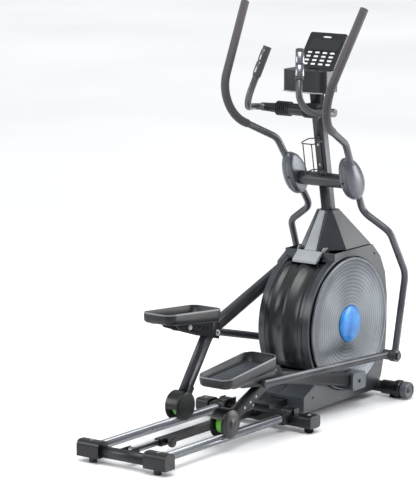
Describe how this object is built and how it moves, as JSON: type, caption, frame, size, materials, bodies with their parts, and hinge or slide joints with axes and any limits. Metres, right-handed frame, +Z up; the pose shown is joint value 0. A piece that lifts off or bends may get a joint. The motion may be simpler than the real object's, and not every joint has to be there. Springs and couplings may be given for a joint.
{
  "type": "elliptical trainer",
  "caption": "Front-drive elliptical trainer: swinging handlebars, pedals on roller arms, chrome folding rails, covered flywheel drive, fixed grips and console",
  "frame": {"origin": "on the floor, at the middle of the machine's bounding box in plan", "axes": "+X from the user towards the console, +Y to the user's left, +Z up"},
  "size_m": [1.731, 0.6406, 1.7467],
  "materials": {
    "frame_black": "satin black powder coat",
    "tube_grey": "satin metallic dark grey paint",
    "mast_grey": "satin metallic grey paint",
    "cap_black": "moulded black, light grain",
    "rubber_foot": "soft black",
    "wheel_grey": "moulded mid grey",
    "housing_grey": "satin blue-grey",
    "cover_gloss": "glossy near-black",
    "trim_light": "light grey",
    "disc_silver": "metallic silver paint",
    "cap_blue": "glossy blue",
    "roller_green": "satin green polyurethane",
    "chrome": "polished",
    "steel": "bright machined",
    "bronze": "sintered bearing bronze",
    "iron": "machined cast iron",
    "belt": "ribbed belt",
    "pedal_grey": "textured dark grey",
    "cover_silver": "silver-grey satin",
    "foam": "closed-cell foam",
    "console_black": "satin black",
    "key_white": "printed membrane",
    "lens": "tinted clear",
    "wire": "dark coated wire"
  },
  "bodies": {
    "base": {"base_frame": "frame_black", "mid_crossbar": "tube_grey", "rail_hinges": "frame_black", "end_caps": "cap_black", "levelling_feet": "rubber_foot", "front_stabilizer": "tube_grey", "mast": "mast_grey", "housing_left": "housing_grey", "housing_right": "housing_grey", "rear_cover": "cover_gloss", "upper_shroud": "housing_grey", "trim_saddle": "trim_light", "swing_shaft": "tube_grey", "power_inlet": "cap_black", "handlebar": "tube_grey", "handlebar_grips": "foam", "pulse_plates": "chrome", "handlebar_cover": "cap_black", "console_case": "console_black", "console_keys": "key_white", "display_lens": "lens", "bottle_cage": "wire", "magnet_brake": "steel", "drive_belt": "belt"},
    "crank_set": {"crank_axle": "steel", "crank_disc_left": "disc_silver", "crank_disc_right": "disc_silver", "disc_caps": "cap_blue", "drive_pulley": "cap_black"},
    "flywheel": {"flywheel": "iron"},
    "front_wheels": {"transport_wheels": "wheel_grey"},
    "rails": {"rail_frame": "chrome", "rear_end_caps": "cap_black"},
    "brace": {"brace_tube": "frame_black"},
    "brace_bar": {"brace_rod": "chrome"},
    "knob": {"lock_knob": "cap_black"},
    "carriage_right": {"roller_axle_right": "steel"},
    "arm_right": {"roller_arm_right": "tube_grey", "roller_fender_right": "cap_black", "crank_end_cover_right": "pedal_grey"},
    "roller_right": {"roller_wheel_right": "roller_green"},
    "swing_bearing_right": {"swing_bush_right": "bronze"},
    "swing_right": {"swing_arm_right": "tube_grey", "swing_grip_right": "foam", "pivot_cover_right": "cover_silver"},
    "bolt_right": {"link_bolt_right": "steel"},
    "link_right": {"pedal_link_right": "tube_grey", "pedal_right": "pedal_grey"},
    "carriage_left": {"roller_axle_left": "steel"},
    "arm_left": {"roller_arm_left": "tube_grey", "roller_fender_left": "cap_black", "crank_end_cover_left": "pedal_grey"},
    "roller_left": {"roller_wheel_left": "roller_green"},
    "swing_bearing_left": {"swing_bush_left": "bronze"},
    "swing_left": {"swing_arm_left": "tube_grey", "swing_grip_left": "foam", "pivot_cover_left": "cover_silver"},
    "bolt_left": {"link_bolt_left": "steel"},
    "link_left": {"pedal_link_left": "tube_grey", "pedal_left": "pedal_grey"}
  },
  "joints": [
    {"name": "crank_spin", "type": "hinge", "parent": "base", "child": "crank_set", "pos_m": [0.5565, 0, 0.364], "axis": [0, 1, 0], "continuous": true},
    {"name": "flywheel_spin", "type": "hinge", "parent": "base", "child": "flywheel", "pos_m": [0.7115, 0, 0.3], "axis": [0, 1, 0], "continuous": true},
    {"name": "transport_wheel_spin", "type": "hinge", "parent": "base", "child": "front_wheels", "pos_m": [0.8105, 0, 0.04], "axis": [0, 1, 0], "continuous": true},
    {"name": "rail_fold", "type": "hinge", "parent": "base", "child": "rails", "pos_m": [0.0865, 0, 0.078], "axis": [0, 1, 0], "range_deg": [0, 10]},
    {"name": "brace_tilt", "type": "hinge", "parent": "base", "child": "brace", "pos_m": [0.0205, 0, 0.06], "axis": [0, 1, 0], "range_deg": [0, 10.7]},
    {"name": "brace_slide", "type": "slide", "parent": "brace", "child": "brace_bar", "axis": [-1, 0, 0], "range_m": [0, 0.0069]},
    {"name": "knob_pull", "type": "slide", "parent": "brace", "child": "knob", "axis": [0, -1, 0], "range_m": [0, 0.008], "stiffness_N_per_m": 500},
    {"name": "stride_right", "type": "slide", "parent": "rails", "child": "carriage_right", "axis": [1, 0, 0], "range_m": [-0.12, 0.12]},
    {"name": "arm_fold_right", "type": "hinge", "parent": "carriage_right", "child": "arm_right", "pos_m": [-0.3925, -0.162, 0.118], "axis": [0, 1, 0], "range_deg": [-5, 0]},
    {"name": "roller_spin_right", "type": "hinge", "parent": "carriage_right", "child": "roller_right", "pos_m": [-0.3925, -0.162, 0.118], "axis": [0, 1, 0], "range_deg": [-169, 169]},
    {"name": "swing_right", "type": "hinge", "parent": "base", "child": "swing_bearing_right", "pos_m": [0.5585, 0, 0.977], "axis": [0, 1, 0], "range_deg": [-9.1, 9.1]},
    {"name": "swing_fold_right", "type": "hinge", "parent": "swing_bearing_right", "child": "swing_right", "pos_m": [0.5585, 0, 0.977], "axis": [0, 1, 0], "range_deg": [-2.7, 0]},
    {"name": "link_turn_right", "type": "hinge", "parent": "swing_right", "child": "bolt_right", "pos_m": [0.6985, 0, 0.215], "axis": [0, 1, 0], "range_deg": [-7.5, 7.5]},
    {"name": "link_fold_right", "type": "hinge", "parent": "bolt_right", "child": "link_right", "pos_m": [0.6985, 0, 0.215], "axis": [0, 1, 0], "range_deg": [0, 5.4]},
    {"name": "stride_left", "type": "slide", "parent": "rails", "child": "carriage_left", "axis": [1, 0, 0], "range_m": [-0.12, 0.12]},
    {"name": "arm_fold_left", "type": "hinge", "parent": "carriage_left", "child": "arm_left", "pos_m": [-0.25681, 0.162, 0.118], "axis": [0, 1, 0], "range_deg": [-7.6, 0]},
    {"name": "roller_spin_left", "type": "hinge", "parent": "carriage_left", "child": "roller_left", "pos_m": [-0.25681, 0.162, 0.118], "axis": [0, 1, 0], "range_deg": [-169, 169]},
    {"name": "swing_left", "type": "hinge", "parent": "base", "child": "swing_bearing_left", "pos_m": [0.5585, 0, 0.977], "axis": [0, 1, 0], "range_deg": [-9.4, 9.4]},
    {"name": "swing_fold_left", "type": "hinge", "parent": "swing_bearing_left", "child": "swing_left", "pos_m": [0.5585, 0, 0.977], "axis": [0, 1, 0], "range_deg": [-1.8, 0]},
    {"name": "link_turn_left", "type": "hinge", "parent": "swing_left", "child": "bolt_left", "pos_m": [0.6985, 0, 0.215], "axis": [0, 1, 0], "range_deg": [-7.7, 7.7]},
    {"name": "link_fold_left", "type": "hinge", "parent": "bolt_left", "child": "link_left", "pos_m": [0.6985, 0, 0.215], "axis": [0, 1, 0], "range_deg": [0, 4.8]}
  ],
  "couplings": [
    {"joint": "flywheel_spin", "follows": "crank_spin", "ratio": 7},
    {"joint": "brace_tilt", "follows": "rail_fold", "ratio": 1.0668},
    {"joint": "brace_slide", "follows": "rail_fold", "m_per_rad": 0.039034},
    {"joint": "arm_fold_right", "follows": "rail_fold", "ratio": -0.49507},
    {"joint": "roller_spin_right", "follows": "stride_right", "rad_per_m": 24.57},
    {"joint": "swing_right", "follows": "stride_right", "rad_per_m": -1.3156},
    {"joint": "swing_fold_right", "follows": "rail_fold", "ratio": -0.26974},
    {"joint": "link_turn_right", "follows": "stride_right", "rad_per_m": 1.0777},
    {"joint": "link_fold_right", "follows": "rail_fold", "ratio": 0.53994},
    {"joint": "stride_left", "follows": "stride_right", "ratio": -1},
    {"joint": "arm_fold_left", "follows": "rail_fold", "ratio": -0.75706},
    {"joint": "roller_spin_left", "follows": "stride_right", "rad_per_m": -24.57},
    {"joint": "swing_left", "follows": "stride_right", "rad_per_m": 1.3629},
    {"joint": "swing_fold_left", "follows": "rail_fold", "ratio": -0.17811},
    {"joint": "link_turn_left", "follows": "stride_right", "rad_per_m": -1.1113},
    {"joint": "link_fold_left", "follows": "rail_fold", "ratio": 0.47789}
  ]
}
